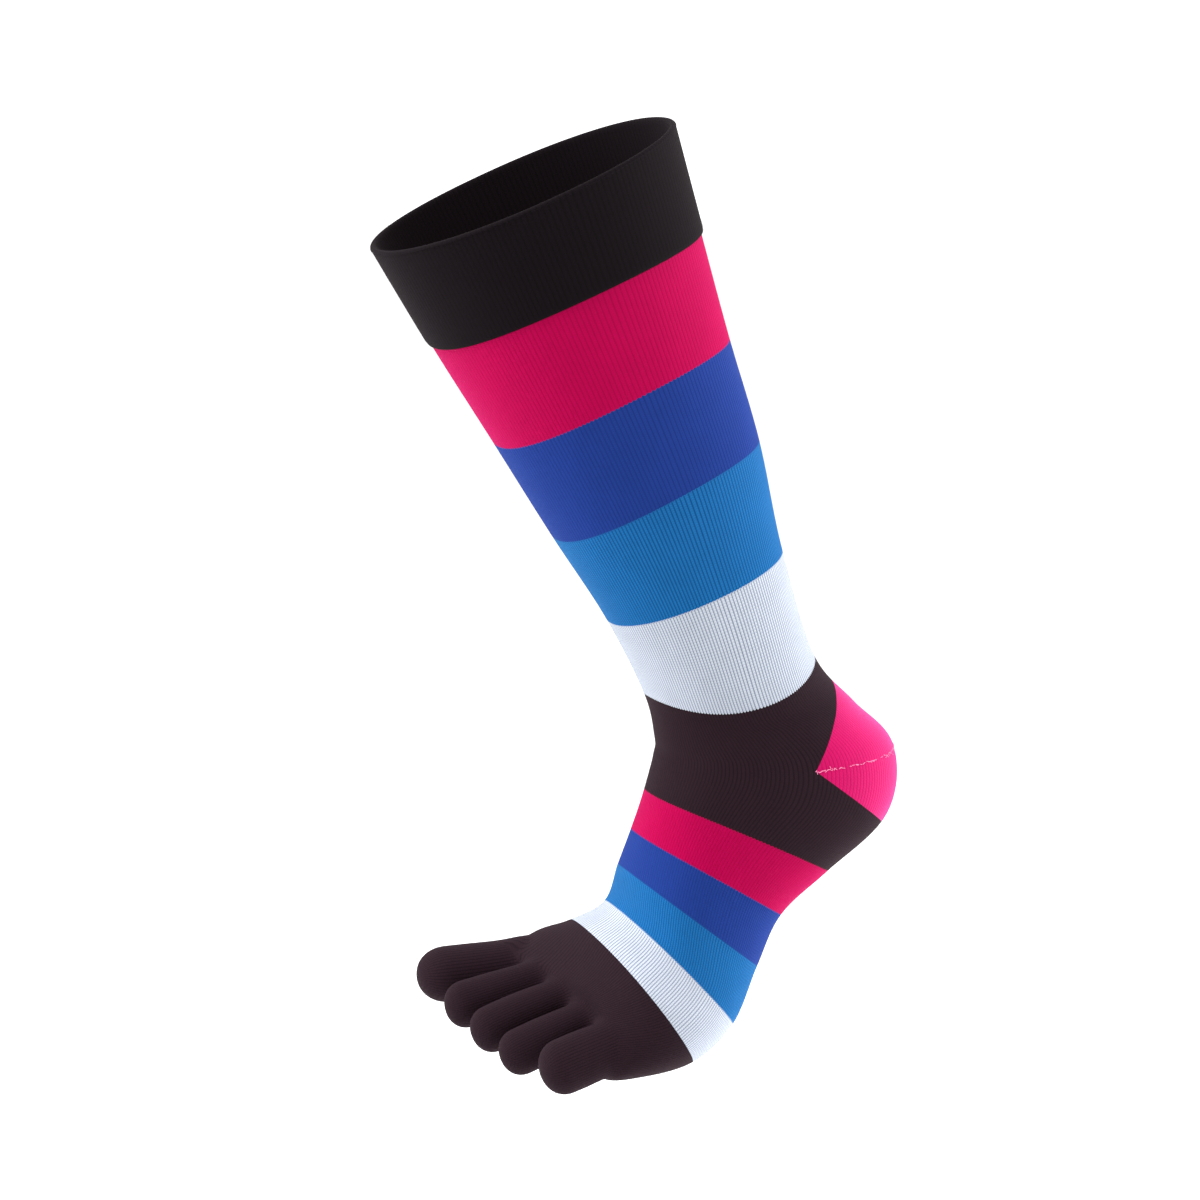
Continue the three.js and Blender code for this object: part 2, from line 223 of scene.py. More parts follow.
@dataclass(frozen=True)
class CombedCottonJersey:
    """Plain jersey in combed cotton with a little elastane, knitted on a fine-gauge circular machine.

    Its V-shaped stitches stand in upright wales. To the eye it is matt, with a short fuzz that catches
    light where the tube turns away, and the gaps between the wales are painted darker as painted shade.
    """

    name: str
    yarn: str
    painted_gap_shade: str
    fuzz: str
    relief: float = 0.16
    fuzz_weight: float = 0.35
    mottle: float = 0.06
    fibre_scale: float = 1100.0
    patch_scale: float = 70.0
    fibre_relief: float = 0.5
    leg_relief: float = 0.25
    leg_slant: float = 1.2
    course_dip: float = 0.16

    def material(self) -> bpy.types.Material:
        """Builds the jersey's material.

        Returns:
            The material, with its pattern drawn from the knit map: one unit across is one wale and
            one unit along is one course.
        """
        material = bpy.data.materials.new(self.name)
        material.use_nodes = True
        tree = material.node_tree
        tree.nodes.clear()
        height = self.stitches(tree)
        place = add_node(tree, "ShaderNodeTexCoord").outputs["Object"]
        fine = {"Vector": place, "Scale": self.fibre_scale, "Detail": 3.0}
        broad = {"Vector": place, "Scale": self.patch_scale, "Detail": 4.0}
        fibres = add_node(tree, "ShaderNodeTexNoise", fine, normalize=True).outputs[0]
        patches = add_node(tree, "ShaderNodeTexNoise", broad, normalize=True).outputs[0]
        # Painted shade: the colour turns to the darker gap colour where the relief is low, between the
        # wales.
        colours = {MIX_FACTOR: height, MIX_FIRST: linear(self.painted_gap_shade), MIX_SECOND: linear(self.yarn)}
        cloth = add_node(tree, "ShaderNodeMix", colours, data_type="RGBA").outputs[MIX_RESULT]
        uneven = {
            "Value": self.work_out(tree, "ADD", fibres, patches),
            "From Min": 0.6,
            "From Max": 1.4,
            "To Min": 1 - self.mottle,
            "To Max": 1 + self.mottle,
        }
        shade = add_node(tree, "ShaderNodeMapRange", uneven).outputs[0]
        mottled = {0: cloth, "Scale": shade}
        colour = add_node(tree, "ShaderNodeVectorMath", mottled, operation="SCALE").outputs[0]
        surface = self.work_out(tree, "MULTIPLY_ADD", fibres, self.fibre_relief, height)
        relief = {"Strength": 0.7, "Distance": self.relief * MM, "Height": surface}
        matt = {
            "Base Color": colour,
            "Normal": add_node(tree, "ShaderNodeBump", relief).outputs[0],
            "Roughness": 0.92,
            "IOR": 1.5,
            "Specular IOR Level": 0.04,
            "Sheen Weight": self.fuzz_weight,
            "Sheen Roughness": 0.45,
            "Sheen Tint": linear(self.fuzz),
        }
        shader = add_node(tree, "ShaderNodeBsdfPrincipled", matt)
        add_node(tree, "ShaderNodeOutputMaterial", {"Surface": shader.outputs[0]})
        return material

    def stitches(self, tree: bpy.types.NodeTree) -> bpy.types.NodeSocket:
        """Draws the relief of the stitches: two slanting legs to each wale, one V to each course.

        Args:
            tree: the material's node tree.

        Returns:
            A socket that is 0 between the wales and about 1 on a stitch's leg; low values show the painted
            gap shade.
        """
        knit = add_node(tree, "ShaderNodeUVMap", uv_map=KNIT_MAP).outputs[0]
        split = add_node(tree, "ShaderNodeSeparateXYZ", {0: knit}).outputs
        half = self.work_out(tree, "PINGPONG", split[0], 0.5)
        rib = self.work_out(tree, "SINE", self.work_out(tree, "MULTIPLY", half, math.pi))
        leg = self.work_out(tree, "SINE", self.work_out(tree, "MULTIPLY", half, FULL_TURN))
        ridge = self.work_out(tree, "MULTIPLY_ADD", leg, self.leg_relief, rib)
        slant = self.work_out(tree, "MULTIPLY_ADD", half, self.leg_slant, split[1])
        wave = self.work_out(tree, "COSINE", self.work_out(tree, "MULTIPLY", slant, FULL_TURN))
        stitch = self.work_out(tree, "MULTIPLY_ADD", wave, self.course_dip, 1 - self.course_dip)
        return self.work_out(tree, "MULTIPLY", ridge, stitch)

    def work_out(
        self, tree: bpy.types.NodeTree, operation: str, *values: bpy.types.NodeSocket | float
    ) -> bpy.types.NodeSocket:
        """The result of one sum on sockets and numbers."""
        return add_node(tree, "ShaderNodeMath", dict(enumerate(values)), operation=operation).outputs[0]


class Finish(Enum):
    """The knits of the sock.

    Each row gives the record's material slot that the knit stands for, and then its own name, yarn,
    painted gap shade (a darker colour painted between the wales), fuzz, relief, fuzz weight and, for one,
    mottle.
    """

    BLACK_WELT = ("black_cuff", "black welt jersey", "#100b0e", "#0b080a", "#a08c98", 0.06, 0.03)
    BLACK = ("black_jersey", "black cotton jersey", "#23161c", "#160e12", "#b09aa4", 0.12, 0.05)
    PINK = ("pink_jersey", "pink cotton jersey", "#98013c", "#840134", "#ff40b8", 0.12, 0.14)
    # Painted light: the heel pocket's pink is the same yarn as PINK, painted brighter and more magenta
    # where the heel faces the light from the right.
    PINK_PAINTED_BRIGHTER = ("pink_jersey", "pink jersey painted brighter", "#b0034e", "#980246", "#ff9cf4", 0.1, 0.4, 0.1)
    ROYAL = ("royal_jersey", "royal blue cotton jersey", "#193072", "#132661", "#6f8ef0", 0.12, 0.1)
    SKY = ("sky_jersey", "sky blue cotton jersey", "#165a91", "#093462", "#7fc0f4", 0.16, 0.1)
    WHITE = ("white_jersey", "white cotton jersey", "#aeb3bc", "#556176", "#f4f8ff", 0.18, 0.08)

    def __init__(self, slot: str, *looks: str | float) -> None:
        """Sorts a row into the record's slot and the jersey's looks."""
        self.slot = slot
        self.jersey = CombedCottonJersey(*looks)

    def material(self) -> bpy.types.Material:
        """The finish's one material, made when it is first asked for."""
        return bpy.data.materials.get(self.jersey.name) or self.jersey.material()


@dataclass(frozen=True)
class Section:
    """One cross-section of the sock, in millimetres and degrees.

    Args:
        name: what the section is.
        x: its middle, front to back.
        z: its middle's height.
        tilt: how far its back is raised.
        depth: front to back.
        width: side to side.
        sag: how far its sides hang below its front and back.
        roll: how far the big toe's side is raised.
    """

    name: str
    x: float
    z: float
    tilt: float
    depth: float
    width: float
    sag: float = 0.0
    roll: float = 0.0


@dataclass
class SockForm:
    """The tube of the sock from the leg opening to the webs of the toes.

    The tables give shares of the driving sizes, as the solids' source does.
    """

    opening_depth: float = 116.0
    opening_width: float = 114.0
    leg_drop: float = 187.0
    leg_setback: float = 82.0
    foot_drop: float = 125.0
    foot_reach: float = 75.0
    heel_depth: float = 95.0
    ball_width: float = 100.0
    places_tried: int = 60
    leg_table: tuple = (
        # name, drop, back, tilt, depth, width, sag
        ("opening", 0.0, 0.0, 23.5, 1.0, 1.0, 0.0),
        ("cuff_end", 0.203, 0.203, 23.2, 0.912, 0.9, -0.026),
        ("pink_end", 0.405, 0.416, 24.5, 0.816, 0.791, -0.03),
        ("royal_end", 0.602, 0.628, 25.5, 0.731, 0.686, -0.026),
        ("sky_end", 0.802, 0.82, 22.1, 0.612, 0.56, -0.002),
        ("white_end", 0.99, 0.995, 12.0, 0.574, 0.487, 0.076),
    )
    foot_table: tuple = (
        # name, drop, ahead, tilt, depth, width, sag, roll
        ("heel_top", 0.134, -0.137, 8.2, 0.828, 0.596, 0.0, 0),
        ("heel_middle", 0.226, -0.248, -0.9, 0.99, 0.644, 0.0, 0),
        ("heel_base", 0.346, -0.227, -15.2, 1.008, 0.652, 0.0, 0),
        ("ankle_end", 0.479, -0.04, -26.0, 0.825, 0.638, -0.02, 0),
        ("foot_pink_end", 0.602, 0.124, -31.7, 0.684, 0.655, -0.01, 0),
        ("foot_royal_end", 0.732, 0.224, -38.5, 0.655, 0.748, 0.0, 0),
        ("foot_sky_end", 0.876, 0.328, -48.3, 0.636, 0.88, 0.0, 0),
        ("foot_white_end", 0.954, 0.533, -56.3, 0.62, 0.99, 0.0, 2),
        ("ball", 0.979, 0.78, -73.0, 0.437, 0.985, 0.0, 9),
        ("toe_roots", 0.998, 1.0, -87.0, 0.275, 0.905, 0.0, 12),
        ("past_the_webs", 1.01, 1.2, -92.0, 0.205, 0.83, 0.0, 12),
    )
    sections: list[Section] = field(init=False)
    lengths: np.ndarray = field(init=False)

    def __post_init__(self) -> None:
        """Works out the sections in millimetres and how far along the sock each one is."""
        leg = [
            Section(
                name,
                back * self.leg_setback,
                -drop * self.leg_drop,
                tilt,
                depth * self.opening_depth,
                width * self.opening_width,
                sag * self.opening_width,
            )
            for name, drop, back, tilt, depth, width, sag in self.leg_table
        ]
        foot = [
            Section(
                name,
                self.leg_setback - ahead * self.foot_reach,
                -self.leg_drop - drop * self.foot_drop,
                tilt,
                depth * self.heel_depth,
                width * self.ball_width,
                sag * self.ball_width,
                roll,
            )
            for name, drop, ahead, tilt, depth, width, sag, roll in self.foot_table
        ]
        self.sections = leg + foot
        middles = np.array([(section.x, section.z) for section in self.sections])
        steps = np.linalg.norm(np.diff(middles, axis=0), axis=1)
        self.lengths = np.concatenate([[0.0], np.cumsum(steps)])

    def station(self, name: str) -> int:
        """The number of a named section."""
        return next(number for number, section in enumerate(self.sections) if section.name == name)

    def at(self, place: np.ndarray) -> np.ndarray:
        """Smooth sections between the tables' rows.

        Args:
            place: numbers along the sock. Whole numbers are the tables' rows.

        Returns:
            For each place a row of x, z, tilt, depth, width, sag and roll.
        """
        rows = np.array([(s.x, s.z, s.tilt, s.depth, s.width, s.sag, s.roll) for s in self.sections])
        last = len(rows) - 1
        first = np.clip(np.floor(place).astype(int), 0, last - 1)
        u = (place - first)[:, None]
        a, b, c, d = (rows[np.clip(first + step, 0, last)] for step in (-1, 0, 1, 2))
        square = (2 * a - 5 * b + 4 * c - d) * u**2
        cube = (3 * b - a - 3 * c + d) * u**3
        return 0.5 * (2 * b + (c - a) * u + square + cube)

    def axes(self, rows: np.ndarray) -> tuple[np.ndarray, np.ndarray, np.ndarray, np.ndarray]:
        """Where each section lies and how it is turned.

        Args:
            rows: sections, as given by at.

        Returns:
            The middles, and the directions back, across and up the sock.
        """
        x, z, tilt, _, _, _, roll = rows.T
        tilt, roll = np.radians(tilt), np.radians(roll)
        zero = np.zeros_like(tilt)
        middle = np.stack([x, zero, z], -1)
        back = np.stack([np.cos(tilt), zero, np.sin(tilt)], -1)
        up = np.stack([-np.sin(tilt), zero, np.cos(tilt)], -1)
        sideways = np.tile([0.0, 1.0, 0.0], (len(rows), 1))
        across = sideways * np.cos(roll)[:, None] + np.cross(up, sideways) * np.sin(roll)[:, None]
        return middle, back, across, up

    def points(self, place: np.ndarray, angle: np.ndarray, outward: float | np.ndarray = 0.0,
               along_up: float | np.ndarray = 0.0) -> np.ndarray:
        """Points of the tube.

        Args:
            place: one place along the sock for each row of points.
            angle: radians round the tube, from the back towards the inner side of the foot.
            outward: how far outside the tube, one value or one for each row.
            along_up: how far up the sock from the section, one value or one for each row.

        Returns:
            Points in millimetres, rows by angles by 3.
        """
        rows = self.at(place)
        _, _, _, depth, width, sag, _ = rows.T
        middle, back, across, up = self.axes(rows)
        middle = middle + up * np.broadcast_to(along_up, place.shape)[:, None]
        to_back = signed_power(np.cos(angle), 2 / OVAL_EXPONENT)
        to_side = signed_power(np.sin(angle), 2 / OVAL_EXPONENT)
        half_depth = depth / 2 + outward
        half_width = width / 2 + outward
        return (
            middle[:, None]
            + (half_depth[:, None] * to_back)[..., None] * back[:, None]
            + (half_width[:, None] * to_side)[..., None] * across[:, None]
            - (sag[:, None] * to_side**2)[..., None] * up[:, None]
        )

    def length(self, place: np.ndarray) -> np.ndarray:
        """How far along the sock each place is, in millimetres."""
        return np.interp(place, np.arange(len(self.lengths)), self.lengths)

    def locate(self, points: np.ndarray, start: float, end: float) -> tuple[np.ndarray, np.ndarray]:
        """Finds the place and the angle of points near the tube.

        Args:
            points: points in millimetres.
            start: the first place to look at.
            end: the last place to look at.

        Returns:
            The place and the angle of each point.
        """
        places = np.linspace(start, end, self.places_tried)
        rows = self.at(places)
        middle, back, across, up = self.axes(rows)
        above = ((points[:, None] - middle) * up).sum(-1)
        nearest = np.abs(above).argmin(1)
        _, _, _, depth, width, _, _ = rows[nearest].T
        away = points - middle[nearest]
        to_back = (away * back[nearest]).sum(-1) / (depth / 2)
        to_side = (away * across[nearest]).sum(-1) / (width / 2)
        power = OVAL_EXPONENT / 2
        return places[nearest], np.arctan2(signed_power(to_side, power), signed_power(to_back, power))


@dataclass
class Knit:
    """The outer surface of a run of knit.

    Args:
        points: corners in millimetres.
        normals: the outward direction at each corner.
        faces: lists of corner numbers.
        stitches: for each corner of each face, in the faces' order, its wale and its course.
    """

    points: np.ndarray
    normals: np.ndarray
    faces: list[list[int]]
    stitches: np.ndarray

    def mesh(self, name: str) -> bpy.types.Mesh:
        """Makes a Blender mesh with the knit map and the outward directions.

        Args:
            name: the mesh's name.

        Returns:
            The mesh, in metres.
        """
        mesh = bpy.data.meshes.new(name)
        mesh.from_pydata((self.points * MM).tolist(), [], self.faces)
        layer = mesh.uv_layers.new(name=KNIT_MAP)
        layer.data.foreach_set("uv", self.stitches.astype(np.float32).ravel())
        outward = mesh.attributes.new(OUTWARD, "FLOAT_VECTOR", "POINT")
        outward.data.foreach_set("vector", self.normals.astype(np.float32).ravel())
        return mesh

    def thickened(self, thickness: float) -> tuple["Knit", np.ndarray]:
        """Gives the surface its thickness, with an inner face and closed rims.

        Args:
            thickness: how far inside the inner face lies.

        Returns:
            The closed wall, and the shading direction at each corner of each face.
        """
        count = len(self.points)
        lengths = [len(face) for face in self.faces]
        starts = np.concatenate([[0], np.cumsum(lengths)[:-1]])
        inner_faces = [[corner + count for corner in reversed(face)] for face in self.faces]
        inner_order = np.concatenate(
            [np.arange(start + size - 1, start - 1, -1) for start, size in zip(starts, lengths)]
        )
        edges = {}
        for face, start in zip(self.faces, starts):
            for step, corner in enumerate(face):
                onward = (step + 1) % len(face)
                edges[(corner, face[onward])] = (start + step, start + onward)
        rims = [(pair, loops) for pair, loops in edges.items() if (pair[1], pair[0]) not in edges]
        rim_faces = [[b, a, a + count, b + count] for (a, b), _ in rims]
        rim_order = np.array([[second, first, first, second] for _, (first, second) in rims], int).ravel()
        points = np.concatenate([self.points, self.points - self.normals * thickness])
        outer_shade = self.normals[corners_of(self.faces)]
        inner_shade = -outer_shade[inner_order]
        rim_shade = np.zeros((0, 3))
        if rim_faces:
            quads = points[np.array(rim_faces)]
            flat = unit(np.cross(quads[:, 1] - quads[:, 0], quads[:, 2] - quads[:, 1]))
            rim_shade = np.repeat(flat, 4, axis=0)
        stitches = np.concatenate([self.stitches, self.stitches[inner_order], self.stitches[rim_order]])
        normals = np.concatenate([self.normals, -self.normals])
        wall = Knit(points, normals, self.faces + inner_faces + rim_faces, stitches)
        return wall, np.concatenate([outer_shade, inner_shade, rim_shade])


def knit_from(mesh: bpy.types.Mesh) -> Knit:
    """Reads a surface back from a Blender mesh that has its outward directions.

    Args:
        mesh: the mesh, in metres, which is used up.

    Returns:
        The surface, in millimetres. Its stitches are 0 if the mesh has no knit map.
    """
    points = values_of(mesh.vertices, "co", 3) / MM
    normals = unit(values_of(mesh.attributes[OUTWARD].data, "vector", 3))
    faces = [list(polygon.vertices) for polygon in mesh.polygons]
    stitches = np.zeros((len(mesh.loops), 2))
    if KNIT_MAP in mesh.uv_layers:
        stitches = values_of(mesh.uv_layers[KNIT_MAP].data, "uv", 2)
    bpy.data.meshes.remove(mesh)
    return Knit(points, normals, faces, stitches)


def grid(points: np.ndarray, normals: np.ndarray, wales: np.ndarray, courses: np.ndarray,
         closed_along: bool = False) -> Knit:
    """Joins rows of points that go round the sock into a surface.

    Args:
        points: rows by columns by 3, the rows running down the sock.
        normals: the outward direction at each point.
        wales: the wale number at each column, and once more after the last.
        courses: the course number at each row, and once more after the last if closed_along.
        closed_along: whether the last row joins the first.

    Returns:
        The surface.
    """
    rows, columns = points.shape[:2]
    bands = rows if closed_along else rows - 1
    row, column = (number.ravel() for number in np.indices((bands, columns)))
    below, beside = (row + 1) % rows, (column + 1) % columns
    corners = ((row, column), (below, column), (below, beside), (row, beside))
    faces = np.stack([level * columns + upright for level, upright in corners], -1)
    across = np.stack([wales[column], wales[column], wales[column + 1], wales[column + 1]], -1)
    along = np.stack([courses[row], courses[row + 1], courses[row + 1], courses[row]], -1)
    stitches = np.stack([across, along], -1).reshape(-1, 2)
    return Knit(points.reshape(-1, 3), normals.reshape(-1, 3), faces.tolist(), stitches)


def dressed(name: str, knit: Knit, shading: np.ndarray, finish: Finish) -> bpy.types.Object:
    """Makes the finished object of a closed wall of knit.

    Args:
        name: the piece's name.
        knit: the wall.
        shading: the shading direction at each corner of each face.
        finish: its knit.

    Returns:
        The object, which replaces the node of that name where there is one.
    """
    mesh = knit.mesh(name)
    mesh.attributes.remove(mesh.attributes[OUTWARD])
    mesh.shade_smooth()
    mesh.normals_split_custom_set(shading.tolist())
    mesh.materials.append(finish.material())
    piece = link(name, mesh)
    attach(piece, "root")
    if name.removesuffix("_knit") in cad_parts:
        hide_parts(name.removesuffix("_knit"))
    return piece


@dataclass
class Tube:
    """Makes knit surfaces that follow the tube of the sock."""

    form: SockForm
    row_step: float = 1.76
    fewest_rows: int = 4
    tooth: float = 0.28
    probe: float = 0.004

    @property
    def angles(self) -> np.ndarray:
        """The angles of the columns."""
        return np.linspace(0, FULL_TURN, WALES_ROUND * COLUMNS_PER_WALE + 1)[:-1]

    @property
    def wales(self) -> np.ndarray:
        """The wale number at each column, and once more after the last."""
        return np.arange(WALES_ROUND * COLUMNS_PER_WALE + 1) / COLUMNS_PER_WALE

    def directions(self, places: np.ndarray) -> tuple[np.ndarray, np.ndarray]:
        """Finds how the tube's surface is turned.

        Args:
            places: one place along the sock for each row of points.

        Returns:
            The outward direction and the direction down the sock, rows by angles by 3.
        """
        points, angles, probe = self.form.points, self.angles, self.probe
        down = points(places + probe, angles) - points(places - probe, angles)
        onward = points(places, angles + probe) - points(places, angles - probe)
        return unit(np.cross(down, onward)), unit(down)

    def surface(self, start: str, end: str, teeth: tuple[bool, bool] = (True, True)) -> Knit:
        """The outer surface between two sections.

        Args:
            start: the upper section's name.
            end: the lower section's name.
            teeth: whether the upper and the lower edge follow the stitches in small teeth.

        Returns:
            The surface.
        """
        first, last = self.form.station(start), self.form.station(end)
        span = self.form.lengths[last] - self.form.lengths[first]
        places = np.linspace(first, last, max(self.fewest_rows, round(span / self.row_step)))
        points = self.form.points(places, self.angles)
        outward, down = self.directions(places)
        saw = self.tooth * np.where(np.arange(len(self.angles)) % 2, 1.0, -1.0)
        for row, wanted in ((0, teeth[0]), (-1, teeth[1])):
            if wanted:
                points[row] += saw[:, None] * down[row]
        courses = self.form.length(places) / COURSE
        return grid(points, outward, self.wales, courses)


@dataclass
class Knitted:
    """A part of the sock that is knitted in its own way."""

    tube: Tube

    @property
    def form(self) -> SockForm:
        """The form of the sock."""
        return self.tube.form


@dataclass
class Stripe(Knitted):
    """One run of colour in the leg or the foot."""

    name: str
    start: str
    end: str
    finish: Finish
    teeth: tuple[bool, bool] = (True, True)

    def build(self) -> list[bpy.types.Object]:
        """Builds the stripe as a closed wall.

        Returns:
            The stripe's object.
        """
        wall, shading = self.tube.surface(self.start, self.end, self.teeth).thickened(KNIT_THICKNESS)
        return [dressed(self.name + "_knit", wall, shading, self.finish)]


@dataclass
class Cuff(Knitted):
    """The welt at the top: knit folded double over elastic, with a rounded lip below."""

    thickness: float = 2.6
    proud: float = 1.1
    row_step: float = 2.0
    lip_radius: float = 1.1
    lip_gap: float = 0.15
    fold_steps: int = 13
    lip_steps: int = 6

    def profile(self) -> np.ndarray:
        """The welt's section, walked once round from its inside at the lower end.

        Returns:
            Rows of place, distance up the sock and distance outwards.
        """
        form = self.form
        top, bottom = form.station("opening"), form.station("cuff_end")
        fold = self.thickness / 2
        outer, inner = self.proud, self.proud - self.thickness
        turn = np.linspace(0, math.pi, self.fold_steps)
        over = [(top, -fold + fold * math.sin(a), outer - fold - fold * math.cos(a)) for a in turn]
        count = round((form.lengths[bottom] - form.lengths[top]) / self.row_step)
        lip, gap = self.lip_radius, self.lip_gap
        lip_turn = np.linspace(0, math.pi / 2, self.lip_steps)
        rows = [(place, 0.0, inner) for place in np.linspace(bottom, top, count)[:-1]]
        rows += over
        rows += [(place, 0.0, outer) for place in np.linspace(top, bottom, count)[1:-1]]
        rows += [(bottom, gap + lip - lip * math.sin(a), outer - lip + lip * math.cos(a)) for a in lip_turn]
        rows[0] = (bottom, gap, inner)
        return np.array(rows)

    def build(self) -> list[bpy.types.Object]:
        """Builds the cuff.

        Returns:
            The cuff's object.
        """
        place, upwards, outwards = self.profile().T
        points = self.form.points(place, self.tube.angles, outwards, upwards)
        down = np.roll(points, -1, 0) - np.roll(points, 1, 0)
        onward = np.roll(points, -1, 1) - np.roll(points, 1, 1)
        outward = unit(np.cross(down, onward))
        steps = np.linalg.norm(np.diff(points[:, 0], axis=0, append=points[:1, 0]), axis=-1)
        courses = np.concatenate([[0.0], np.cumsum(steps)]) / COURSE
        wall = grid(points, outward, self.tube.wales, courses, closed_along=True)
        shading = outward.reshape(-1, 3)[np.array(wall.faces).ravel()]
        return [dressed("cuff_knit", wall, shading, Finish.BLACK_WELT)]


@dataclass
class AnkleAndHeel(Knitted):
    """The black tube round the ankle, with the pink heel pocket set in behind.

    Seen from the side, the pocket is what lies behind two straight edges that meet at its corner.
    Places are shares of the heel's depth behind, and of the foot's drop below, the ankle's upper edge.
    """

    corner: tuple[float, float] = (0.235, 0.25)
    upper_edge: tuple[float, float] = (0.41, 0.026)
    lower_edge: tuple[float, float] = (0.62, 0.47)
    gore_end: tuple[float, float] = (0.71, 0.236)
    gore_stitches: int = 84
    gore_seed: int = 7
    jitter: float = 0.3
    firm_shares: tuple[float, float] = (0.2, 0.75)
    firm_left_out: float = 0.5
    firm_stray: float = 0.28
    firm_lean: float = 30.0
    loose_stray: float = 0.55
    loose_lean: float = 75.0
    half_lengths: tuple[float, float] = (0.3, 0.8)
    thread: float = 0.11
    thread_low: float = 0.2
    thread_arch: float = 0.9
    thread_points: int = 5
    thread_sides: int = 6
    thread_taper: float = 0.55
    beyond_the_foot: float = 200.0

    def place(self, share: tuple[float, float]) -> np.ndarray:
        """A place given as shares, in millimetres, with y 0."""
        x = self.form.leg_setback + share[0] * self.form.heel_depth
        return np.array([x, 0.0, -self.form.leg_drop - share[1] * self.form.foot_drop])

    def build(self) -> list[bpy.types.Object]:
        """Builds the ankle, the heel pocket and the threads of its gore lines.

        Returns:
            The three objects.
        """
        corner = self.place(self.corner)
        ups = self.edge_normal(self.place(self.upper_edge) - corner)
        lows = -self.edge_normal(self.place(self.lower_edge) - corner)
        mesh = self.tube.surface("white_end", "ankle_end").mesh("ankle_and_heel")
        cut_along(mesh, [(corner, ups), (corner, lows)])
        surface = knit_from(mesh)
        middles = np.array([surface.points[face].mean(0) for face in surface.faces])
        in_pocket = ((middles - corner) @ ups < 0) & ((middles - corner) @ lows < 0)
        in_pocket &= middles[:, 0] > corner[0]
        pieces = []
        for name, chosen, finish in (
            ("ankle_knit", ~in_pocket, Finish.BLACK),
            # The heel pocket wears the pink painted brighter, as painted light.
            ("heel_pocket_knit", in_pocket, Finish.PINK_PAINTED_BRIGHTER),
        ):
            part = subset(surface, chosen)
            if finish is Finish.PINK_PAINTED_BRIGHTER:
                part = self.pocket_courses(part, corner, ups, lows)
            wall, shading = part.thickened(KNIT_THICKNESS)
            pieces.append(dressed(name, wall, shading, finish))
        pieces.append(self.gore_threads(surface))
        return pieces

    def edge_normal(self, along: np.ndarray) -> np.ndarray:
        """The upright direction square to an edge that runs back in the plane y = 0, pointing up."""
        return unit(np.array([-along[2], 0.0, along[0]]))

    def pocket_courses(self, part: Knit, corner: np.ndarray, ups: np.ndarray, lows: np.ndarray) -> Knit:
        """Turns the pocket's courses parallel to its two edges, so that they meet at the gore line.

        Args:
            part: the pocket's surface.
            corner: where the two edges meet.
            ups: the direction out of the pocket over its upper edge.
            lows: the direction out of the pocket under its lower edge.

        Returns:
            The same surface with its new courses.
        """
        away = part.points[corners_of(part.faces)] - corner
        stitches = part.stitches.copy()
        stitches[:, 1] = np.minimum(-(away @ ups), -(away @ lows)) / COURSE
        return replace(part, stitches=stitches)

    def gore_threads(self, surface: Knit) -> bpy.types.Object:
        """Lays short pale loops of yarn along the gore line on both sides of the pocket.

        Args:
            surface: the surface of the ankle and heel.

        Returns:
            The threads' object.
        """
        tree = BVHTree.FromPolygons([Vector(p) for p in surface.points], surface.faces)
        start, end = self.place(self.corner), self.place(self.gore_end)
        rng = np.random.default_rng(self.gore_seed)
        threads = []
        for side in Side:
            for number in range(self.gore_stitches):
                share = (number + rng.uniform(-self.jitter, self.jitter)) / self.gore_stitches
                loose = not self.firm_shares[0] <= share <= self.firm_shares[1]
                if not loose and rng.random() < self.firm_left_out:
                    continue
                stray = self.loose_stray if loose else self.firm_stray
                middle = start + (end - start) * share + np.array([0.0, 0.0, rng.normal(0, stray)])
                most = self.loose_lean if loose else self.firm_lean
                lean = math.radians(rng.uniform(-most, most))
                along = rng.uniform(*self.half_lengths) * np.array([math.cos(lean), 0.0, math.sin(lean)])
                path = self.thread_path(tree, side, middle, along)
                if len(path) == self.thread_points:
                    threads.append(self.thread_rings(path))
        points, faces = joined([closed_rings(rings) for rings, _ in threads])
        normals = np.concatenate([outward.reshape(-1, 3) for _, outward in threads])
        corners = corners_of(faces)
        # A quarter of a wale in, the material's relief is near its highest, so a thread is all yarn.
        stitches = np.tile([0.25, 0.0], (len(corners), 1))
        wall = Knit(points, normals, faces, stitches)
        thread = dressed("heel_gore_threads", wall, normals[corners], Finish.PINK)
        yarn = CombedCottonJersey("pale pink cotton yarn", "#f08fb6", "#e46a9b", "#ffc4da")
        thread.data.materials[0] = yarn.material()
        return thread

    def thread_path(
        self, tree: BVHTree, side: Side, middle: np.ndarray, along: np.ndarray
    ) -> list[tuple[np.ndarray, np.ndarray]]:
        """Lays one loop of yarn on the knit, with its ends sunk in.

        Args:
            tree: the surface of the ankle and heel.
            side: the side of the foot.
            middle: the loop's middle, seen from the side.
            along: from the middle to an end.

        Returns:
            The loop's points and the outward direction at each, as far as it meets the knit.
        """
        path = []
        for step in np.linspace(-1, 1, self.thread_points):
            spot = middle + step * along
            outside = Vector((spot[0], side.value * self.beyond_the_foot, spot[2]))
            hit, normal, _, _ = tree.ray_cast(outside, Vector((0, -side.value, 0)))
            if hit is None:
                break
            rise = self.thread * (self.thread_low + self.thread_arch * (1 - step**2))
            path.append((np.array(hit) + rise * np.array(normal), np.array(normal)))
        return path

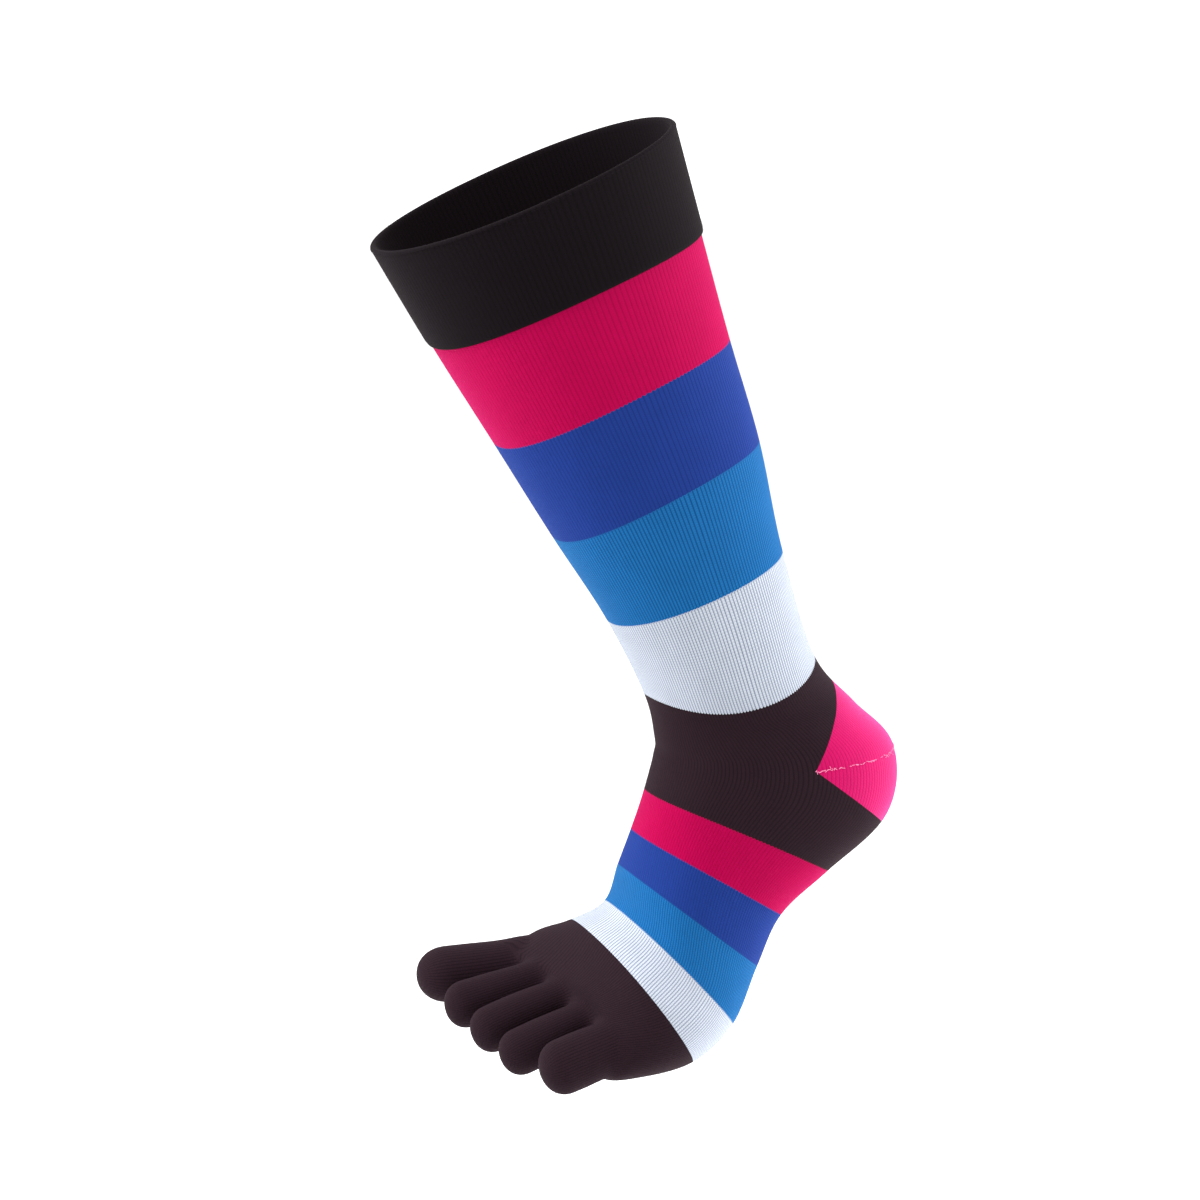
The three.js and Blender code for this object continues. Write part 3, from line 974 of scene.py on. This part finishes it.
    def thread_rings(self, path: list[tuple[np.ndarray, np.ndarray]]) -> tuple[np.ndarray, np.ndarray]:
        """Rounds a path into a thin thread that narrows at its ends.

        Args:
            path: the points and the outward direction at each.

        Returns:
            The thread's points and their outward directions, rings by sides by 3.
        """
        spots, normals = (np.array(column) for column in zip(*path))
        beside = np.cross(normals, unit(np.gradient(spots, axis=0)))
        turn = np.linspace(0, FULL_TURN, self.thread_sides, endpoint=False)[:, None]
        outward = np.cos(turn) * normals[:, None] + np.sin(turn) * beside[:, None]
        radius = np.full((len(spots), 1, 1), self.thread)
        radius[[0, -1]] *= self.thread_taper
        return spots[:, None] + radius * outward, outward


def subset(knit: Knit, chosen: np.ndarray) -> Knit:
    """The part of a surface made of the chosen faces.

    Args:
        knit: the surface.
        chosen: for each face, whether it is kept.

    Returns:
        The smaller surface.
    """
    keep_corner = np.repeat(chosen, [len(face) for face in knit.faces])
    faces = [face for face, wanted in zip(knit.faces, chosen) if wanted]
    used = np.unique(corners_of(faces))
    renumber = np.full(len(knit.points), -1)
    renumber[used] = np.arange(len(used))
    return Knit(
        knit.points[used],
        knit.normals[used],
        [renumber[face].tolist() for face in faces],
        knit.stitches[keep_corner],
    )


@dataclass(frozen=True)
class Toe:
    """One toe of the sock, as the solids' source gives it.

    Args:
        name: the toe's name.
        width: a share of the toes' thickness, as height is.
        height: sole to top.
        axis: its root, knuckle and tip, each as shares ahead of the web plane's middle, across
            towards the inner side of the foot, and down from the toe roots' level.
    """

    name: str
    width: float
    height: float
    axis: tuple[tuple[float, float, float], ...]


@dataclass
class ForefootAndToes(Knitted):
    """The black end of the foot: the tube over the ball, and five toes grown out of it."""

    toe_length: float = 43.0
    toe_thickness: float = 23.0
    toe_spread: float = 80.0
    web_ahead: float = 0.955
    web_turn: float = 13.9
    voxel: float = 0.8
    softening: int = 8
    wales_round_toe: int = 54
    root_taper: float = 0.42
    web_reach: float = 9.0
    web_softening: int = 36
    knuckle_at: float = 0.55
    waist: float = 0.045
    waist_rate: float = 1.15
    root_width: float = 0.6
    tip_power: float = 0.9
    toe_rings: int = 26
    tip_rings: int = 12
    toe_sides: int = 64
    body_overlap: float = 0.4
    body_rings: int = 40
    axis_end: float = 1.3
    axis_points: int = 80
    toes: tuple[Toe, ...] = (
        Toe("big_toe", 1.04, 0.94, ((-0.43, 0.39, -0.31), (0.21, 0.445, -0.2), (0.7, 0.465, -0.17))),
        Toe("second_toe", 0.7, 0.8, ((-0.45, 0.135, -0.34), (0.19, 0.162, -0.16), (0.69, 0.172, -0.05))),
        Toe("third_toe", 0.69, 0.79, ((-0.47, -0.06, -0.25), (0.13, -0.045, -0.08), (0.57, -0.04, 0.07))),
        Toe("fourth_toe", 0.68, 0.78, ((-0.54, -0.24, -0.15), (0.01, -0.252, 0.02), (0.43, -0.25, 0.17))),
        Toe("little_toe", 0.78, 0.92, ((-0.72, -0.44, -0.05), (-0.25, -0.47, 0.07), (0.18, -0.487, 0.19))),
    )

    def web_middle(self) -> np.ndarray:
        """The middle of the web plane."""
        x = self.form.leg_setback - self.web_ahead * self.form.foot_reach
        return np.array([x, 0.0, -self.form.leg_drop - self.form.foot_drop])

    def ahead(self) -> np.ndarray:
        """The level direction square to the web plane, towards the toes' tips."""
        turn = math.radians(self.web_turn)
        return np.array([-math.cos(turn), -math.sin(turn), 0.0])

    def axis(self, toe: Toe, u: np.ndarray) -> np.ndarray:
        """Works out the bent line down the middle of a toe.

        Args:
            toe: the toe.
            u: places from 0 at its root to 1 at its tip.

        Returns:
            A point for each place, in millimetres.
        """
        scale = np.array([-self.toe_length, self.toe_spread, -self.toe_length])
        a, b, c = (self.web_middle() + np.array(share) * scale for share in toe.axis)
        u = u[:, None]
        through = self.knuckle_at
        bend = (b - (1 - through) ** 2 * a - through**2 * c) / (2 * through * (1 - through))
        return (1 - u) ** 2 * a + 2 * u * (1 - u) * bend + u**2 * c

    def toe_solid(self, toe: Toe) -> Solid:
        """A toe as a closed solid with a blunt round tip and a slight waist behind its pad.

        Args:
            toe: the toe.

        Returns:
            The solid, in millimetres.
        """
        along = np.linspace(0, 1, self.toe_rings)
        spine = self.axis(toe, along)
        tangents = np.gradient(spine, axis=0)
        scales = 1.0 - self.waist * np.sin(math.pi * np.clip(along * self.waist_rate, 0, 1)) ** 2
        risen = np.clip(along / self.root_taper, 0, 1)
        scales *= self.root_width + (1 - self.root_width) * risen * (2 - risen)
        half_width = toe.width * self.toe_thickness / 2
        half_height = toe.height * self.toe_thickness / 2
        tip_turn = np.linspace(0, math.pi / 2, self.tip_rings)[1:-1]
        ahead = unit(tangents[-1])
        tip = np.array([spine[-1] + ahead * half_width * math.sin(a) for a in tip_turn])
        spine = np.concatenate([spine, tip])
        tangents = unit(np.concatenate([tangents, np.tile(ahead, (len(tip), 1))]))
        scales = np.concatenate([scales, np.cos(tip_turn) ** self.tip_power])
        side = unit(np.array([0.0, 1.0, 0.0]) - tangents * tangents[:, 1:2])
        above = np.cross(side, tangents)
        angle = np.linspace(0, FULL_TURN, self.toe_sides + 1)[:-1]
        rings = (
            spine[:, None]
            + (half_width * scales[:, None] * np.cos(angle))[..., None] * side[:, None]
            + (half_height * scales[:, None] * np.sin(angle))[..., None] * above[:, None]
        )
        return closed_rings(rings)

    def body_solid(self) -> Solid:
        """The tube over the ball as a closed solid, flat at the web plane.

        Returns:
            The solid, in millimetres.
        """
        start = self.form.station("foot_white_end") - self.body_overlap
        places = np.linspace(start, self.form.station("past_the_webs"), self.body_rings)
        angles = np.linspace(0, FULL_TURN, WALES_ROUND + 1)[:-1]
        rings = self.form.points(places, angles)
        beyond = (rings - self.web_middle()) @ self.ahead()
        rings = rings - np.maximum(beyond, 0)[..., None] * self.ahead()
        return closed_rings(rings)

    def grown(self) -> bpy.types.Mesh:
        """Joins the tube over the ball and the toes into one soft surface.

        Returns:
            The surface, in metres.
        """
        points, faces = joined([self.body_solid()] + [self.toe_solid(toe) for toe in self.toes])
        mesh = bpy.data.meshes.new("forefoot_blank")
        mesh.from_pydata((points * MM).tolist(), [], faces)
        blank = link("forefoot_blank", mesh)
        remesh = blank.modifiers.new("one skin", "REMESH")
        remesh.mode = "VOXEL"
        remesh.voxel_size = self.voxel * MM
        soften = blank.modifiers.new("soften", "SMOOTH")
        soften.factor = 0.5
        soften.iterations = self.softening
        depsgraph = bpy.context.evaluated_depsgraph_get()
        result = bpy.data.meshes.new_from_object(blank.evaluated_get(depsgraph))
        bpy.data.objects.remove(blank)
        bpy.data.meshes.remove(mesh)
        self.soften_webs(result)
        return result

    def soften_webs(self, mesh: bpy.types.Mesh) -> None:
        """Rounds the creases between the toes, where the knit stretches from one toe to the next.

        Args:
            mesh: the surface, in metres, which is changed.
        """
        count = len(mesh.vertices)
        points = values_of(mesh.vertices, "co", 3)
        first, second = values_of(mesh.edges, "vertices", 2, int).T
        neighbours = (np.bincount(first, minlength=count) + np.bincount(second, minlength=count))[:, None]
        beyond = (points / MM - self.web_middle()) @ self.ahead()
        weight = 0.5 * np.clip(1 - np.abs(beyond) / self.web_reach, 0, 1)[:, None]
        for _ in range(self.web_softening):
            sums = [
                np.bincount(first, column[second], count) + np.bincount(second, column[first], count)
                for column in points.T
            ]
            points = points + weight * (np.stack(sums, -1) / neighbours - points)
        mesh.vertices.foreach_set("co", points.ravel())
        mesh.update()

    def trimmed(self, mesh: bpy.types.Mesh, planes: list[tuple[np.ndarray, np.ndarray]]) -> Knit:
        """Cuts away what lies in front of each plane.

        Args:
            mesh: the surface, in metres, which is used up.
            planes: points of the planes and their directions, in millimetres.

        Returns:
            What is left, in millimetres, with no stitches yet.
        """
        outward = values_of(mesh.vertices, "normal", 3)
        mesh.attributes.new(OUTWARD, "FLOAT_VECTOR", "POINT").data.foreach_set("vector", outward.ravel())
        cut_along(mesh, planes, clear_outer=True)
        return knit_from(mesh)

    def build(self) -> list[bpy.types.Object]:
        """Builds the forefoot and the toes.

        Returns:
            The six objects.
        """
        form = self.form
        start = form.station("foot_white_end")
        middle, _, _, up = (rows[0] for rows in form.axes(form.at(np.array([float(start)]))))
        web, ahead = self.web_middle(), self.ahead()
        skin = self.grown()
        body = self.trimmed(skin.copy(), [(middle, up), (web, ahead)])
        place, angle = form.locate(body.points, start, form.station("past_the_webs"))
        wales, courses = angle / FULL_TURN * WALES_ROUND, form.length(place) / COURSE
        pieces = [self.piece("forefoot_knit", body, wales, courses, WALES_ROUND)]
        front = self.trimmed(skin, [(web, -ahead)])
        middles = np.array([front.points[face].mean(0) for face in front.faces])
        along = np.linspace(0, self.axis_end, self.axis_points)
        spines = [self.axis(toe, along) for toe in self.toes]
        away = [
            np.linalg.norm(middles[:, None] - spine, axis=-1).min(1) - toe.width * self.toe_thickness / 2
            for toe, spine in zip(self.toes, spines)
        ]
        owner = np.argmin(away, axis=0)
        for number, (toe, spine) in enumerate(zip(self.toes, spines)):
            part = subset(front, owner == number)
            nearest = np.linalg.norm(part.points[:, None] - spine, axis=-1).argmin(1)
            side = part.points - spine[nearest]
            wales = np.arctan2(side[:, 2], side[:, 1]) / FULL_TURN * self.wales_round_toe
            courses = (part.points - web) @ ahead / COURSE
            pieces.append(self.piece(toe.name + "_knit", part, wales, courses, self.wales_round_toe))
        return pieces

    def piece(
        self, name: str, part: Knit, wales: np.ndarray, courses: np.ndarray, wrap: int
    ) -> bpy.types.Object:
        """Thickens one run of the surface and dresses it in black.

        Args:
            name: the piece's name.
            part: its surface, with no stitches yet.
            wales: the wale number at each point.
            courses: the course number at each point.
            wrap: how many wales go round.

        Returns:
            The object.
        """
        corners = corners_of(part.faces)
        stitches = np.stack([wales[corners], courses[corners]], -1)
        bounds = np.cumsum([len(face) for face in part.faces])[:-1]
        for across in np.split(stitches[:, 0], bounds):
            if across.max() - across.min() > wrap / 2:
                across[across < 0] += wrap
        wall, shading = replace(part, stitches=stitches).thickened(KNIT_THICKNESS)
        return dressed(name, wall, shading, Finish.BLACK)


@dataclass
class Studio:
    """A pale floor, soft lights and the camera at the photograph's angle."""

    azimuth: float = -18.65
    elevation: float = 10.08
    target: tuple[float, float, float] = (30.05, 0.0, -154.37)
    distance: float = 1152.9
    lens: float = 92.93
    floor_level: float = -700.0
    bright_side: tuple[float, float, float] = (0.28, 0.83, 0.48)
    bright_side_strength: float = 1.5
    bright_from: float = 0.45
    dark_side_strength: float = 0.3
    dark_until: float = -0.25
    floor_reach: float = 12.0
    lights: tuple = (
        # name, place and side in metres, watts
        ("left softbox", (-1.5, 0.75, 0.1), 1.2, 20.0),
        ("right softbox", (1.65, -0.15, 0.1), 1.2, 48.0),
        ("front softbox", (-0.6, -1.0, 1.6), 1.2, 6.0),
        ("top softbox", (-0.8, -0.2, 1.1), 1.0, 40.0),
    )

    def build(self) -> None:
        """Sets up the whole studio."""
        self.add_camera()
        self.add_floor()
        self.add_world()
        for light in self.lights:
            self.add_light(*light)

    def directions(self) -> tuple[Vector, Vector, Vector]:
        """Works out how the camera is turned.

        Returns:
            Its right, up and backward directions.
        """
        azimuth, elevation = math.radians(self.azimuth), math.radians(self.elevation)
        level = math.cos(elevation)
        back = Vector((math.sin(azimuth) * level, -math.cos(azimuth) * level, math.sin(elevation)))
        right = Vector((math.cos(azimuth), math.sin(azimuth), 0.0))
        return right, back.cross(right), back

    def add_camera(self) -> None:
        """Adds the camera."""
        right, up, back = self.directions()
        data = bpy.data.cameras.new("camera")
        data.lens = self.lens
        data.sensor_width = 36.0
        data.sensor_fit = "HORIZONTAL"
        camera = link("camera", data)
        eye = (Vector(self.target) + back * self.distance) * MM
        camera.matrix_world = Matrix.Translation(eye) @ Matrix((right, up, back)).transposed().to_4x4()
        bpy.context.scene.camera = camera

    def add_floor(self) -> None:
        """Adds the floor."""
        mesh = bpy.data.meshes.new("floor")
        reach = self.floor_reach
        level = self.floor_level * MM
        sides = ((-reach, -reach), (reach, -reach), (reach, reach), (-reach, reach))
        corners = [(x, y, level) for x, y in sides]
        mesh.from_pydata(corners, [], [[0, 1, 2, 3]])
        paper = bpy.data.materials.new("matt white paper")
        paper.use_nodes = True
        tree = paper.node_tree
        tree.nodes.clear()
        matt = {"Base Color": linear("#ffffff"), "Roughness": 0.9, "Specular IOR Level": 0.1}
        shader = add_node(tree, "ShaderNodeBsdfPrincipled", matt)
        add_node(tree, "ShaderNodeOutputMaterial", {"Surface": shader.outputs[0]})
        mesh.materials.append(paper)
        floor = link("floor", mesh)

    def add_world(self) -> None:
        """Surrounds the scene with soft white light, bright behind and above the sock and dim in front."""
        scene = bpy.context.scene
        world = scene.world or bpy.data.worlds.new("studio")
        scene.world = world
        world.use_nodes = True
        world.node_tree.nodes.clear()
        tree = world.node_tree
        place = add_node(tree, "ShaderNodeTexCoord").outputs["Generated"]
        both = {0: place, 1: self.bright_side}
        facing = {
            "Value": add_node(tree, "ShaderNodeVectorMath", both, operation="DOT_PRODUCT").outputs["Value"],
            "From Min": self.dark_until,
            "From Max": self.bright_from,
            "To Min": self.dark_side_strength,
            "To Max": self.bright_side_strength,
        }
        strength = add_node(tree, "ShaderNodeMapRange", facing).outputs[0]
        sky = add_node(tree, "ShaderNodeBackground", {"Color": (1.0, 1.0, 1.0, 1.0), "Strength": strength})
        add_node(tree, "ShaderNodeOutputWorld", {"Surface": sky.outputs[0]})
        scene.view_settings.view_transform = "Standard"

    def add_light(self, name: str, place: tuple[float, float, float], size: float, power: float) -> None:
        """Adds one square soft light that faces the middle of the sock.

        Args:
            name: the light's name.
            place: where it stands, in metres.
            size: its side, in metres.
            power: in watts.
        """
        data = bpy.data.lights.new(name, "AREA")
        data.shape = "SQUARE"
        data.size = size
        data.energy = power
        light = link(name, data)
        light.location = place
        towards = Vector(self.target) * MM - Vector(place)
        light.rotation_euler = towards.to_track_quat("-Z", "Y").to_euler()


def main() -> None:
    """Builds the sock and the studio, and logs how many faces each piece has."""
    logging.basicConfig(level=logging.INFO, format="%(name)s: %(message)s")
    tube = Tube(SockForm())
    parts = [
        Cuff(tube),
        Stripe(tube, "leg_stripe_pink", "cuff_end", "pink_end", Finish.PINK, (False, True)),
        Stripe(tube, "leg_stripe_royal", "pink_end", "royal_end", Finish.ROYAL),
        Stripe(tube, "leg_stripe_sky", "royal_end", "sky_end", Finish.SKY),
        Stripe(tube, "leg_stripe_white", "sky_end", "white_end", Finish.WHITE),
        AnkleAndHeel(tube),
        Stripe(tube, "foot_stripe_pink", "ankle_end", "foot_pink_end", Finish.PINK),
        Stripe(tube, "foot_stripe_royal", "foot_pink_end", "foot_royal_end", Finish.ROYAL),
        Stripe(tube, "foot_stripe_sky", "foot_royal_end", "foot_sky_end", Finish.SKY),
        Stripe(tube, "foot_stripe_white", "foot_sky_end", "foot_white_end", Finish.WHITE, (True, False)),
        ForefootAndToes(tube),
    ]
    for part in parts:
        for piece in part.build():
            LOG.info("%s: %d faces", piece.name, len(piece.data.polygons))
    Studio().build()


if __name__ == "__main__":
    main()
